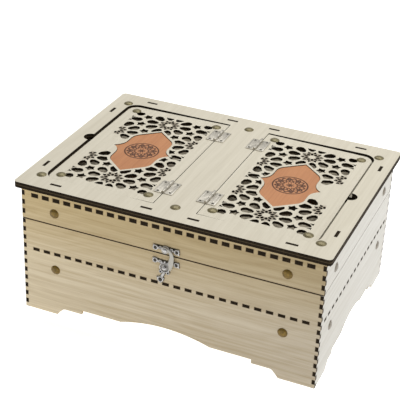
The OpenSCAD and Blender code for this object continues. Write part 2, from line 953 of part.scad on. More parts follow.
module latch_lower_plate() {
    color("silver") upright(-box_d / 2, latch_t) difference() {
        union() {
            translate([stud_x, stud_z]) circle(stud_pad);
            lobe_places(lobe_dn) circle(lobe_r);
            translate([latch_x - lobe_x, lobe_dn - 1.6]) square([2 * lobe_x, 3]);
            translate([tail_x, tail_z]) circle(tail_r);
            polygon([
                [stud_x - 2.2, stud_z - 4],
                [tail_x - 0.82 * tail_r, tail_z + 1.6],
                [tail_x + 0.82 * tail_r, tail_z + 1.6],
                [stud_x + 2.2, stud_z - 4]
            ]);
        }
        latch_lower_holes();
        translate([stud_x, stud_z]) circle(r = 1.2 + fit);
    }
}

// Crescent hook hanging from its pivot and passing beside the stud.
module hook_outline() {
    top = [pivot_x + 1.5, pivot_z + 3.2];
    bow = [pivot_x + 9.3, pivot_z - 8.4];
    tip = [pivot_x + 6.2, pivot_z - 20.7];
    belly = [pivot_x + 3.4, pivot_z - 12];
    root = [pivot_x + 1.8, pivot_z - 2.4];
    difference() {
        union() {
            translate([pivot_x, pivot_z]) circle(3.6);
            polygon(concat(
                [for (k = [0 : 8]) bend(root, [pivot_x + 5.8, pivot_z - 5.5], belly, k / 8)],
                [for (k = [1 : 8]) bend(belly, [pivot_x + 1.6, pivot_z - 17.5], tip, k / 8)],
                [for (k = [1 : 8]) bend(tip, [pivot_x + 9.3, pivot_z - 15.5], bow, k / 8)],
                [for (k = [1 : 8]) bend(bow, [pivot_x + 9.3, pivot_z + 1.5], top, k / 8)]
            ));
        }
        translate([pivot_x, pivot_z]) circle(r = rivet_r + pin_fit);
    }
}

module latch_hook() {
    color("silver") upright(-box_d / 2 - hook_off, latch_t) hook_outline();
}

module latch_rivet() {
    color("silver") translate([pivot_x, -box_d / 2, pivot_z]) rotate([90, 0, 0]) union() {
        translate([0, 0, -sheet + 0.4]) cylinder(r = rivet_r, h = sheet - 0.4 + hook_off + latch_t + free + 0.3);
        translate([0, 0, latch_t]) cylinder(r = rivet_r + 0.9, h = hook_off - latch_t - free);
        translate([0, 0, hook_off + latch_t + free]) nail(4.4, 0.8, 1, 0.1);
    }
}

module latch_stud() {
    color("silver") translate([stud_x, -box_d / 2, stud_z]) rotate([90, 0, 0]) union() {
        cylinder(r = 1.2, h = hook_off + latch_t);
        translate([0, 0, latch_t]) cylinder(r = 1.9, h = 0.6);
        translate([0, 0, hook_off + latch_t - 0.2]) nail(3.8, 1, 1, 0.1);
    }
}

module latch_nail() {
    nail(tack_head, 0.7, tack_d, latch_t + sheet - 0.5);
}

module latch_upper_nails() {
    color("silver") for (s = [-1, 1]) {
        translate([latch_x + s * lobe_x, -box_d / 2 - latch_t, lobe_up]) rotate([90, 0, 0]) latch_nail();
    }
}

module latch_lower_nails() {
    color("silver") {
        for (s = [-1, 1]) {
            translate([latch_x + s * lobe_x, -box_d / 2 - latch_t, lobe_dn]) rotate([90, 0, 0]) latch_nail();
        }
        translate([tail_x, -box_d / 2 - latch_t, tail_z]) rotate([90, 0, 0]) latch_nail();
    }
}

base_front_wall();
base_back_wall();
base_left_wall();
base_right_wall();
floor_panel();
base_nails();
lid_front_wall();
lid_back_wall();
lid_left_wall();
lid_right_wall();
ceiling_panel();
front_strip();
back_strip();
left_strip();
right_strip();
lower_frame();
top_panel();
lid_nails();
frame_nails();
left_door();
right_door();
left_medallion();
right_medallion();
left_door_nails();
right_door_nails();
left_front_frame_leaf();
left_back_frame_leaf();
right_front_frame_leaf();
right_back_frame_leaf();
left_front_door_leaf();
left_back_door_leaf();
right_front_door_leaf();
right_back_door_leaf();
door_hinge_pins();
frame_leaf_nails();
left_leaf_nails();
right_leaf_nails();
left_rear_base_leaf();
right_rear_base_leaf();
left_rear_lid_leaf();
right_rear_lid_leaf();
rear_hinge_pins();
rear_base_screws();
rear_lid_screws();
latch_upper_plate();
latch_lower_plate();
latch_hook();
latch_rivet();
latch_stud();
latch_upper_nails();
latch_lower_nails();
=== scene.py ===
import json
import math

import bpy
from mathutils import Matrix, Vector


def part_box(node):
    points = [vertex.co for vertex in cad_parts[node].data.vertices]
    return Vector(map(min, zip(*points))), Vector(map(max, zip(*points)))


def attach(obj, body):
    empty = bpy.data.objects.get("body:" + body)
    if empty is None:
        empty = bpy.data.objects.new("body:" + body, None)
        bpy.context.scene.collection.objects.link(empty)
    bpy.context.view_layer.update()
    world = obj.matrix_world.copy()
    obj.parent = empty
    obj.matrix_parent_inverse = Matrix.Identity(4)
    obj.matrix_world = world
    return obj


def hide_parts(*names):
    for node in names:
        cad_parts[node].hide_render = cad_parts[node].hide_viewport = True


bl_info = {
    "name": "Fretwork Book Box",
    "version": (1, 0, 0),
    "blender": (4, 5, 0),
    "location": "3D View > Sidebar > Book Box",
    "description": "Veneer, metalwork and studio for a hinged sheet-wood book box",
    "category": "Add Mesh",
}

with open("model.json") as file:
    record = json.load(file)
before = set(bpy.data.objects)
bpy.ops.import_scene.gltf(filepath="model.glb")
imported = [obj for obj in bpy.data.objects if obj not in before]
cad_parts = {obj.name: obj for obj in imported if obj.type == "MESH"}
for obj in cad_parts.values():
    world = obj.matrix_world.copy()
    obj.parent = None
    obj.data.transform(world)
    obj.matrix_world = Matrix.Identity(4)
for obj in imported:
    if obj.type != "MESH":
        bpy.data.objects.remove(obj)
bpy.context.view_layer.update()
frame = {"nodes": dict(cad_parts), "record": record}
BODY_OF = {node: body for body, nodes in frame["record"]["behaviour"]["bodies"].items() for node in nodes}
MM = 0.001

FRONT_SHEETS = ("base_front_wall", "base_back_wall", "lid_front_wall", "lid_back_wall",
                "front_strip", "back_strip")
SIDE_SHEETS = ("base_left_wall", "base_right_wall", "lid_left_wall", "lid_right_wall",
               "left_strip", "right_strip")
TOP_SHEETS = ("top_panel", "lower_frame")
DOORS = ("left_door", "right_door")
INNER_SHEETS = ("floor_panel", "ceiling_panel")
MEDALLIONS = ("left_medallion", "right_medallion")
WALL_NAILS = ("base_nails", "lid_nails")
DOME_NAILS = (*WALL_NAILS, "frame_nails", "left_door_nails", "right_door_nails")
DOOR_LEAVES = tuple(f"{side}_{end}_{part}_leaf" for side in ("left", "right") for end in ("front", "back")
                    for part in ("frame", "door"))
LEAF_NAILS = ("frame_leaf_nails", "left_leaf_nails", "right_leaf_nails")
REAR_LEAVES = tuple(f"{side}_rear_{part}_leaf" for side in ("left", "right") for part in ("base", "lid"))
REAR_SCREWS = ("rear_base_screws", "rear_lid_screws")
LATCH_NAILS = ("latch_upper_nails", "latch_lower_nails")

# Sizes on the wooden sheets that their finish follows.
SHEET = 3.0 * MM
TAB_PITCH = 11.333 * MM
TAB_LENGTHS = {"floor_panel": 6.5 * MM, "ceiling_panel": 7.0 * MM}
BASE_FINGERS = 22
LID_FINGERS = 7
ARCH_TOP = 24 * MM
ARCH_SPAN_FRONT = 146 * MM
ARCH_SPAN_SIDE = 104 * MM
SPLIT_REACH = 0.7 * MM
NOTCH_PLACE = 1.5 * MM
NOTCH_REACH = 8 * MM
DOOR_EDGE_DEPTH = 1.0 * MM
FRET_SHIFT = 0.3 * MM
FRET_ENDS = (42.6 * MM, 44.0 * MM)
ROSETTE_PLACES = ((0.0, 64.6 * MM), (44.46 * MM, 32.3 * MM))
ROSETTE_INNER = (2.8 * MM, 4.4 * MM)
ROSETTE_OUTER = (7.6 * MM, 12.0 * MM)
ORNAMENT_HALF = 17.5 * MM

# Dome nails and hook.
DOME_WIDTH = 9.5 * MM
DOME_HEIGHT = 1.8 * MM
SHANK_RADIUS = 0.8 * MM
HOOK_EYE = 3.5 * MM
HOOK_EYE_RING = (2.9 * MM, 0.65 * MM)
# Points of the hook from its rivet along X and Z in millimetres, and its share of the full width there.
HOOK_PATH = ((2.2, 1.4, 0.58), (5.3, -1.0, 0.68), (6.9, -4.8, 0.78), (6.7, -9.0, 0.92), (6.2, -13.0, 1.0),
             (5.8, -16.3, 0.82), (5.8, -18.6, 0.46), (6.2, -20.4, 0.14))

# Strength and reach of the finishes.
SMOKE_RIM = (0.1 * MM, 0.6 * MM)
CUT_SMOKE = 0.8
ROSETTE_SMOKE = 0.5
TOP_CONTRAST = 0.55
FRONT_CONTRAST = 0.85
SIDE_CONTRAST = 0.8
INNER_CONTRAST = 0.9
# Painted shade: between these heights the front walls' wood turns darker and warmer towards the lid, standing
# in for the overhang's shade.
FRONT_SHADE_RISE = (30 * MM, 132 * MM)
# Painted shade: the front walls' wood is tinted paler at the left and darker at the right, where less light
# falls.
FRONT_SHADE_FADE = (-145 * MM, 145 * MM, (1.085, 1.07, 1.03), (0.81, 0.81, 0.835))
SEAM_LINE = (0.15 * MM, 0.40 * MM)
LEAF_ROUGHNESS = 0.68
CAST_ROUGHNESS = 0.58
CAST_DEEP = 0.55 * MM
CAST_PROUD = 1.25 * MM
HOOK_ROUGHNESS = 0.54

# Studio.
FLOOR_SIZE = 30.0
# The floor glows full white over this patch under the box: painted light that takes out the box's shadow
# there.
FLOOR_GLOW_PATCH = (150 * MM, 110 * MM)
FLOOR_GLOW_PATCH_RIM = (-5 * MM, 15 * MM)
SENSOR_WIDTH = 36.0
KEY_PLACE = (1.15, 0.15, 1.2)
OVERHEAD_PLACE = (-0.1, 0.6, 1.6)
LAMP_SIZE = 1.3
LAMP_AIM = (0.0, 0.0, 0.08)


def colour(name, description, value):
    """A colour that a user can change."""
    return bpy.props.FloatVectorProperty(name=name, description=description, default=value, size=3,
                                         subtype="COLOR", min=0.0, max=1.0)


def length(name, description, value):
    """A length in metres that a user can change."""
    return bpy.props.FloatProperty(name=name, description=description, default=value, min=0.0,
                                   unit="LENGTH", precision=5)


class WoodColours(bpy.types.PropertyGroup):
    """Colours of the wooden sheets."""

    top_light: colour("Top, light", "Light grain of the top and the doors", (0.66, 0.615, 0.505))
    top_dark: colour("Top, dark", "Dark grain of the top and the doors", (0.51, 0.465, 0.365))
    # Front and back walls: a warmer, more saturated copy of the top veneer, painted shade for the walls that
    # lie in shade.
    front_shade_light: colour("Front, light", "Light grain of the front and back walls", (0.714, 0.633, 0.484))
    front_shade_dark: colour("Front, dark", "Dark grain of the front and back walls", (0.48, 0.384, 0.239))
    # Lid front and back: painted shade, the darker and warmer wood that the front takes on towards the top
    # under the overhang.
    lid_shade_light: colour("Lid, light", "Light grain of the lid's front and back", (0.57, 0.459, 0.266))
    lid_shade_dark: colour("Lid, dark", "Dark grain of the lid's front and back", (0.377, 0.274, 0.129))
    # Side walls: a greyer, cooler copy of the top veneer, painted light for the sides that the key light
    # falls on.
    side_lit_light: colour("Side, light", "Light grain of the side walls", (0.575, 0.56, 0.52))
    side_lit_dark: colour("Side, dark", "Dark grain of the side walls", (0.47, 0.445, 0.39))
    # Floor and ceiling: a darker copy of the top veneer, painted shade for the trays that lie under the
    # fretwork.
    inner_shade_light: colour("Inside, light", "Light grain of the floor and the ceiling", (0.58, 0.53, 0.42))
    inner_shade_dark: colour("Inside, dark", "Dark grain of the floor and the ceiling", (0.44, 0.385, 0.29))
    scorch: colour("Burnt edge", "Colour of every cut edge", (0.013, 0.008, 0.003))
    scorch_light: colour("Burnt edge, light", "Lighter streaks in the cut edges", (0.040, 0.024, 0.010))
    # Pale free edges of the doors: painted light that lifts the shade in the narrow gaps beside them.
    door_edge_painted_light: colour("Door edge", "Cleaned free edge of the doors", (0.62, 0.57, 0.46))
    smoke: colour("Smoke", "Smoke stain round the cuts", (0.12, 0.075, 0.035))
    seam: colour("Seam", "Line at the edge where the two top layers meet", (0.085, 0.062, 0.033))
    medallion_light: colour("Medallion, light", "Light grain of the medallions", (0.505, 0.220, 0.088))
    medallion_dark: colour("Medallion, dark", "Dark grain of the medallions", (0.375, 0.142, 0.048))
    engraving: colour("Engraving", "Burnt lines of the medallion ornament", (0.062, 0.023, 0.012))


class MetalColours(bpy.types.PropertyGroup):
    """Colours of the fittings."""

    # The three brass pairs are copies of one brass: brown for the nails on the shaded front, greyer and paler
    # for those on the lit sides and top, painted light and shade.
    brass: colour("Brass", "Worn parts of the wall nails", (0.192, 0.113, 0.0055))
    brass_dark: colour("Aged brass", "Aged parts of the wall nails", (0.105, 0.062, 0.003))
    brass_side_lit: colour("Side brass", "Worn parts of the nails on the sides", (0.27, 0.245, 0.205))
    brass_side_lit_dark: colour("Aged side brass", "Aged parts of the nails on the sides", (0.19, 0.165, 0.125))
    brass_top_lit: colour("Top brass", "Worn parts of the top nails", (0.222, 0.186, 0.088))
    brass_top_lit_dark: colour("Aged top brass", "Aged parts of the top nails", (0.143, 0.119, 0.056))
    plate: colour("Plating", "Bright plating of the latch", (0.50, 0.49, 0.48))
    leaf: colour("Hinge plating", "Pale plating of the hinges", (0.53, 0.50, 0.435))
    leaf_dark: colour("Hinge tarnish", "Tarnish of the hinges", (0.29, 0.265, 0.21))
    hook: colour("Hook", "Plating of the latch hook", (0.375, 0.36, 0.325))
    plate_dark: colour("Tarnish", "Tarnish in the hollows of the plating", (0.115, 0.105, 0.080))
    # Near-black heads: dark steel, darkened further as painted shade for the shadows round the small nails.
    nail_dark_and_shade: colour("Small nails", "Heads of the hinge and latch nails", (0.06, 0.055, 0.045))


class FittingSizes(bpy.types.PropertyGroup):
    """Sizes of the fittings that the CAD leaves plain."""

    rim: length("Nail rim", "Height of the flat rim of a dome nail", 0.25 * MM)
    leaf_edge: length("Hinge edge", "Rounding of the hinge leaf edges", 0.18 * MM)
    pin_edge: length("Pin edge", "Rounding of pins, rivets and small nails", 0.12 * MM)
    relief: length("Latch relief", "Height of the latch ornament off the wall", 1.8 * MM)
    voxel: length("Casting grain", "Finest detail of the cast latch plates", 0.24 * MM)
    hook_wire: length("Hook", "Half width of the latch hook at its widest", 2.65 * MM)


class StudioLook(bpy.types.PropertyGroup):
    """Camera, floor and light."""

    azimuth: bpy.props.FloatProperty(name="Azimuth", description="Camera angle round the box",
                                     default=0.38755, subtype="ANGLE")
    elevation: bpy.props.FloatProperty(name="Elevation", description="Camera angle above the floor",
                                       default=0.50545, subtype="ANGLE")
    roll: bpy.props.FloatProperty(name="Roll", description="Tilt of the picture", default=0.04305,
                                  subtype="ANGLE")
    lens: bpy.props.FloatProperty(name="Lens", description="Focal length in millimetres", default=104.464,
                                  min=1.0)
    aim: bpy.props.FloatVectorProperty(name="Camera place", description="Camera place along its own axes",
                                       default=(-0.0088, 0.09054, 1.18686), size=3, unit="LENGTH",
                                       precision=5)
    floor: colour("Floor", "Colour of the floor", (0.93, 0.93, 0.93))
    floor_glow: bpy.props.FloatProperty(name="Floor glow", description="Light given by the lit floor",
                                        default=0.52, min=0.0)
    sky: bpy.props.FloatProperty(name="Surrounding light", description="Strength of the white surroundings",
                                 default=0.50, min=0.0)
    key: bpy.props.FloatProperty(name="Key light", description="Power of the soft light on the right",
                                 default=11.5, min=0.0, unit="POWER")
    overhead: bpy.props.FloatProperty(name="Overhead light", description="Power of the soft light above",
                                      default=12.6, min=0.0, unit="POWER")


class Wire:
    """One output socket. Arithmetic on it adds Math nodes to its finish."""

    def __init__(self, finish, socket):
        self.finish = finish
        self.socket = socket

    def other(self, out):
        """Another output of the same node."""
        return Wire(self.finish, self.socket.node.outputs[out])

    def __add__(self, value):
        return self.finish.math("ADD", self, value)

    def __radd__(self, value):
        return self.finish.math("ADD", value, self)

    def __sub__(self, value):
        return self.finish.math("SUBTRACT", self, value)

    def __rsub__(self, value):
        return self.finish.math("SUBTRACT", value, self)

    def __mul__(self, value):
        return self.finish.math("MULTIPLY", self, value)

    def __rmul__(self, value):
        return self.finish.math("MULTIPLY", value, self)

    def __abs__(self):
        return self.finish.math("ABSOLUTE", self)

    def __gt__(self, value):
        return self.finish.math("GREATER_THAN", self, value)

    def __lt__(self, value):
        return self.finish.math("LESS_THAN", self, value)

    def ramp(self, low, high):
        """0 below low, 1 above high and a smooth step between them."""
        return self.finish.node("ShaderNodeMapRange", {"interpolation_type": "SMOOTHSTEP"},
                                {"Value": self, "From Min": low, "From Max": high})


class Finish:
    """A procedural material and the nodes in it."""

    def __init__(self, name):
        self.material = bpy.data.materials.new(name)
        self.material.use_nodes = True
        self.tree = self.material.node_tree
        self.shader = self.tree.nodes["Principled BSDF"]
        self.place = self.node("ShaderNodeTexCoord", out="Object")
        self.facing = self.place.other("Normal")

    def node(self, kind, settings=None, values=None, out=0):
        """Adds a node: its settings first, then the values or links of its sockets."""
        made = self.tree.nodes.new(kind)
        for key, value in (settings or {}).items():
            setattr(made, key, value)
        for key, value in (values or {}).items():
            if isinstance(value, Wire):
                self.tree.links.new(value.socket, made.inputs[key])
            else:
                made.inputs[key].default_value = value
        return Wire(self, made.outputs[out])

    def math(self, operation, *values):
        """A Math node on values or links."""
        return self.node("ShaderNodeMath", {"operation": operation}, dict(enumerate(values)))

    def highest(self, wires):
        """The highest of several values."""
        found = wires[0]
        for wire in wires[1:]:
            found = self.math("MAXIMUM", found, wire)
        return found

    def noise(self, stretch, detail=2.0, rough=0.5, shift=(0.0, 0.0, 0.0)):
        """Noise with its own number of waves per metre along each axis."""
        spread = self.node("ShaderNodeMapping", {"vector_type": "POINT"},
                           {"Vector": self.place, "Location": shift, "Scale": stretch})
        return self.node("ShaderNodeTexNoise", {}, {"Vector": spread, "Scale": 1.0, "Detail": detail,
                                                    "Roughness": rough})

    def axes(self, vector):
        """The three parts of a vector."""
        x = self.node("ShaderNodeSeparateXYZ", {}, {0: vector})
        return x, x.other(1), x.other(2)

    def blend(self, a, b, factor):
        """Colour a where factor is 0 and colour b where it is 1."""
        return self.node("ShaderNodeMix", {"data_type": "RGBA"}, {0: factor, 6: rgba(a), 7: rgba(b)}, 2)

    def bump(self, height, strength, distance):
        """A normal that follows a height, at a depth in metres."""
        return self.node("ShaderNodeBump", {}, {"Strength": strength, "Distance": distance, "Height": height})

    def wear(self, **values):
        """Sets or links the sockets of the shader."""
        for key, value in values.items():
            socket = self.shader.inputs[key.replace("_", " ")]
            if isinstance(value, Wire):
                self.tree.links.new(value.socket, socket)
            else:
                socket.default_value = value
        return self.material


def rgba(value):
    """A colour with its alpha, or the wire that brings one."""
    return value if isinstance(value, Wire) else (*value, 1.0)


def cut_smoke(finish, parts, cuts):
    """Smoke at the rim of the cuts, gone from half a millimetre on.

    A cut gives its two axes, the pitch and first place of its repeats along each (pitch 0: once on either
    side of the middle), its half sizes, how far the repeats reach from the middle along the first axis, and
    the two ends of the stretch of the second axis that they keep to.
    """
    rims = []
    for axes, pitches, places, halves, reach, (start, stop) in cuts:
        gaps = []
        for axis, pitch, place, half in zip(axes, pitches, places, halves):
            if pitch:
                offset = finish.math("WRAP", parts[axis] - place, pitch / 2, -pitch / 2)
            else:
                offset = abs(parts[axis]) - place
            gaps.append(abs(offset) - half)
        level = parts[axes[1]]
        within = (abs(parts[axes[0]]) < reach) * (level > start) * (level < stop)
        rims.append((1.0 - finish.highest(gaps).ramp(*SMOKE_RIM)) * within)
    return finish.highest(rims) * CUT_SMOKE


def rosette_smoke(finish, parts, middle):
    """Smoke between the small holes of the rosettes of both doors."""
    rings = []
    aside = abs(abs(parts[0]) - middle[0])
    for x, y in ROSETTE_PLACES:
        across = aside - x
        along = abs(parts[1] - middle[1]) - y
        reach = finish.math("SQRT", across * across + along * along)
        rings.append(reach.ramp(*ROSETTE_INNER) * (1.0 - reach.ramp(*ROSETTE_OUTER)))
    return finish.highest(rings) * ROSETTE_SMOKE * (1.0 - aside.ramp(*FRET_ENDS))


def veneer(name, sheet_axis, grain_axis, light, dark, burnt_pair, contrast, rise=None, seam=None,
           soot=None, shade_fade=None, pale=None):
    """Pale veneered sheet: grain along one axis, and burnt wherever a face isn't the sheet's own face.

    rise gives two heights and the colours that the wood takes on between them, a painted shade that darkens
    and warms the wood towards the top; seam draws a paler line along the burnt edge at one height; soot gives
    the brown colour of the smoke round cuts and what draws it; fade gives the two ends of a stretch along the
    grain and the tints that the wood takes there, a painted shade across the sheet; pale gives a paler colour
    for some cut edges and what picks them out, painted light on the doors' free edges.
    """
    finish = Finish(name)
    parts = finish.axes(finish.place)
    facing = abs(finish.axes(finish.facing)[sheet_axis])
    own_face = facing.ramp(0.35, 0.65)

    def stretch(along, across):
        return tuple(along if axis == grain_axis else across for axis in range(3))

    waver = finish.noise(stretch(9.0, 26.0), 2.0)
    lines = finish.noise(stretch(8.0, 430.0), 3.0, 0.62)
    pores = finish.noise(stretch(55.0, 1900.0), 1.0)
    bands = finish.noise(stretch(3.2, 95.0), 2.0, 0.55, (0.3, 0.7, 0.2))
    clouds = finish.noise(stretch(5.0, 17.0), 2.0, 0.5, (2.1, 1.3, 0.4))
    cross = parts[3 - sheet_axis - grain_axis]
    rings = finish.math("SINE", (cross + waver * 0.05) * 640.0)
    tone = (lines - 0.5) * 1.15 + (bands - 0.5) * 0.5 + (clouds - 0.5) * 0.45 + rings * 0.06
    tone = tone * contrast + 0.42
    tone = tone + (pores > 0.66) * (0.16 * contrast)
    # Painted shade: the wood turns darker and warmer between the two heights, towards the top.
    if rise:
        low, high, light_shaded_above, dark_shaded_above = rise
        level = parts[2].ramp(low, high)
        light = finish.blend(light, light_shaded_above, level)
        dark = finish.blend(dark, dark_shaded_above, level)
    wood = finish.blend(light, dark, tone.ramp(0.0, 1.0))
    if soot:
        smoke, stain = soot
        wood = finish.blend(wood, smoke, stain(finish, parts))
    # Painted shade: the wood is multiplied by a tint that runs from one end of the stretch to the other.
    if shade_fade:
        start, stop, first, last = shade_fade
        along = finish.node("ShaderNodeMapRange", {},
                            {"Value": parts[grain_axis], "From Min": start, "From Max": stop})
        wood = finish.node("ShaderNodeMix", {"data_type": "RGBA", "blend_type": "MULTIPLY"},
                           {0: 1.0, 6: wood, 7: finish.blend(first, last, along)}, 2)
    streaks = finish.noise(tuple(140.0 if axis == sheet_axis else 1500.0 for axis in range(3)), 2.0)
    burnt = finish.blend(*burnt_pair, streaks.ramp(0.45, 0.85))
    if seam:
        height, line = seam
        burnt = finish.blend(line, burnt, abs(parts[2] - height).ramp(*SEAM_LINE))
    # A paler colour on some cut edges; on the doors' free edges this is painted light.
    if pale:
        paler_edge, chosen = pale
        burnt = finish.blend(burnt, paler_edge, chosen(parts))
    height = lines * 0.6 + pores * 0.4
    return finish.wear(
        Base_Color=finish.blend(burnt, wood, own_face),
        Roughness=0.90 - own_face * 0.28 + (lines - 0.5) * 0.16,
        Specular_IOR_Level=0.16,
        Normal=finish.bump(height * own_face + streaks * (1.0 - own_face), 0.22, 0.00025),
    )


def medallion_wood(name, wood, centre, half):
    """Orange stained sheet with an engraved and burnt eight-fold rosette."""
    finish = Finish(name)
    facing = abs(finish.axes(finish.facing)[2]).ramp(0.35, 0.65)
    lines = finish.noise((620.0, 16.0, 620.0), 3.0, 0.6)
    clouds = finish.noise((22.0, 9.0, 22.0), 2.0)
    grain = finish.blend(wood.medallion_light, wood.medallion_dark,
                         ((lines - 0.5) * 1.1 + (clouds - 0.5) * 0.9 + 0.4).ramp(0.0, 1.0))
    x, y, _ = finish.axes(finish.node("ShaderNodeMapping", {"vector_type": "TEXTURE"}, {
        "Vector": finish.place, "Location": tuple(centre), "Scale": (half, half, 1.0)}))
    reach = finish.math("SQRT", x * x + y * y)
    turn = finish.math("ARCTAN2", y, x)
    wave = finish.math("COSINE", turn * 8.0)
    double = finish.math("COSINE", turn * 16.0)

    def band(radius, width):
        return 1.0 - abs(reach - radius).ramp(width * 0.7, width * 1.3)

    lace = band(wave * 0.15 + 0.66, 0.058) + band(0.66 - wave * 0.15, 0.058)
    rims = band(0.95, 0.042) + band(0.40 + double * 0.035, 0.048)
    bud = 1.0 - (reach - (0.17 + wave * 0.075)).ramp(-0.02, 0.02)
    drops = 1.0 - ((reach - 0.66) * (reach - 0.66) * 90.0 + (1.0 + wave) * 0.9).ramp(0.30, 0.55)
    cut = (lace + rims + bud + drops).ramp(0.15, 0.75)
    burn = finish.blend(grain, wood.engraving, cut * 0.92)
    edge = finish.blend(wood.scorch, wood.scorch_light, finish.noise((1500.0, 1500.0, 140.0)).ramp(0.4, 0.8))
    return finish.wear(
        Base_Color=finish.blend(edge, burn, facing),
        Roughness=0.48 + cut * 0.3,
        Normal=finish.bump(lines * 0.25 - cut, 0.35, 0.0003),
    )


def aged_brass(name, light, dark, aside=None):
    """Dull antique brass with a mottled patina.

    aside gives a distance from the middle and the colours past it, a lit copy of the brass for the nails on
    the sides.
    """
    finish = Finish(name)
    if aside:
        start, light_aside, dark_aside = aside
        past = abs(finish.axes(finish.place)[0]) > start
        light = finish.blend(light, light_aside, past)
        dark = finish.blend(dark, dark_aside, past)
    mottle = finish.noise((420.0, 420.0, 420.0), 4.0, 0.62)
    scratches = finish.noise((300.0, 2600.0, 900.0), 2.0)
    worn = (mottle * 0.8 + scratches * 0.2).ramp(0.36, 0.66)
    return finish.wear(
        Base_Color=finish.blend(dark, light, worn),
        Metallic=0.6,
        Roughness=0.50 - worn * 0.12,
        Coat_Weight=0.35,
        Coat_Roughness=0.22,
        Normal=finish.bump(mottle, 0.12, 0.0002),
    )


def plating(name, light, dark, shade=None, rough=0.44):
    """Plated metal with fine scratches.

    shade gives the axis and the two levels between which tarnish clears.
    """
    finish = Finish(name)
    mottle = finish.noise((260.0, 260.0, 260.0), 3.0, 0.6)
    scratches = finish.noise((3200.0, 260.0, 900.0), 2.0)
    clean = (mottle * 0.7 + scratches * 0.3).ramp(0.18, 0.46)
    if shade:
        axis, deep, proud = shade
        clean = clean * finish.axes(finish.place)[axis].ramp(deep, proud)
    return finish.wear(
        Base_Color=finish.blend(dark, light, clean),
        Metallic=1.0,
        Roughness=rough - clean * 0.16 + (scratches - 0.5) * 0.12,
        Normal=finish.bump(scratches * 0.5 + mottle * 0.5, 0.06, 0.0001),
    )


def dress(names, material):
    """Gives CAD nodes their finish."""
    for name in names:
        node = frame["nodes"][name]
        if not node.material_slots:
            node.data.materials.append(None)
        for slot in node.material_slots:
            slot.material = material


def solids(name):
    """Lowest and highest corner of each separate solid of a CAD node whose solids stand well apart."""
    mesh = frame["nodes"][name].data
    found = []
    for face in mesh.polygons:
        points = [mesh.vertices[i].co for i in face.vertices]
        low = Vector(map(min, zip(*points)))
        high = Vector(map(max, zip(*points)))
        joined = []
        for other in found:
            if all(low[k] <= other[1][k] + 1e-4 and other[0][k] <= high[k] + 1e-4 for k in range(3)):
                low = Vector(map(min, low, other[0]))
                high = Vector(map(max, high, other[1]))
            else:
                joined.append(other)
        found = joined + [(low, high)]
    return sorted(found, key=lambda pair: tuple(round(v, 5) for v in pair[0]))


def middle_of(name):
    """Place of a CAD node's middle on the front, in millimetres along X and Z."""
    low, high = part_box(name)
    return (low.x + high.x) / 2 / MM, (low.z + high.z) / 2 / MM


def nail_middles(name):
    """Places of the nails of a CAD node on the front, in millimetres along X and Z, from left to right."""
    return [((low.x + high.x) / 2 / MM, (low.z + high.z) / 2 / MM) for low, high in solids(name)]


def deselect():
    """Leaves edit mode and selects nothing."""
    if bpy.context.object and bpy.context.object.mode != "OBJECT":
        bpy.ops.object.mode_set(mode="OBJECT")
    bpy.ops.object.select_all(action="DESELECT")


def pick(objects):
    """Selects these objects alone, with the first one active."""
    deselect()
    for piece in objects:
        piece.select_set(True)
    bpy.context.view_layer.objects.active = objects[0]


def settle(piece, name, body, material, nodes):
    """Applies a piece's place to its mesh, then names, paints and hangs it in the frame."""
    pick([piece])
    bpy.ops.object.transform_apply(location=True, rotation=True, scale=True)
    piece.name = name
    piece.data.name = name
    piece.data.materials.clear()
    piece.data.materials.append(material)
    for face in piece.data.polygons:
        face.material_index = 0
    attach(piece, body)
    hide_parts(*nodes)
    return piece


def apply_all(piece):
    """Applies every modifier of a piece in order."""
    pick([piece])
    for modifier in [m.name for m in piece.modifiers]:
        bpy.ops.object.modifier_apply(modifier=modifier)


def heal():
    """In edit mode: merges doubles, closes holes and turns all faces outwards."""
    bpy.ops.mesh.select_all(action="SELECT")
    bpy.ops.mesh.remove_doubles(threshold=1e-6)
    bpy.ops.mesh.fill_holes(sides=0)
    bpy.ops.mesh.select_all(action="SELECT")
    bpy.ops.mesh.normals_make_consistent(inside=False)


def rounded_copy(node, edge, segments):
    """A copy of a CAD node, merged, with its sharp edges rounded off."""
    source = frame["nodes"][node]
    piece = bpy.data.objects.new(node + "_piece", source.data.copy())
    bpy.context.collection.objects.link(piece)
    pick([piece])
    bpy.ops.object.mode_set(mode="EDIT")
    bpy.ops.mesh.select_all(action="SELECT")
    bpy.ops.mesh.customdata_custom_splitnormals_clear()
    bpy.ops.mesh.remove_doubles(threshold=2e-6)
    bpy.ops.mesh.dissolve_limited(angle_limit=math.radians(0.5))
    bpy.ops.object.mode_set(mode="OBJECT")
    rounding = piece.modifiers.new("rounding", "BEVEL")
    rounding.width = edge
    rounding.segments = segments
    rounding.limit_method = "ANGLE"
    rounding.angle_limit = math.radians(40)
    rounding.use_clamp_overlap = True
    apply_all(piece)
    bpy.ops.object.shade_smooth_by_angle(angle=math.radians(35))
    return piece


def rounded_pieces(nodes, edge, ending, material):
    """Dresses each of these CAD nodes with a rounded copy of itself."""
    for node in nodes:
        settle(rounded_copy(node, edge, 2), node + ending, BODY_OF[node], material, [node])


def melt(piece, voxel, rounds, strength):
    """Fuses the shapes of a piece into one skin and smooths it."""
    fuse = piece.modifiers.new("fuse", "REMESH")
    fuse.mode = "VOXEL"
    fuse.voxel_size = voxel
    soften = piece.modifiers.new("soften", "SMOOTH")
    soften.iterations = rounds
    soften.factor = strength
    apply_all(piece)


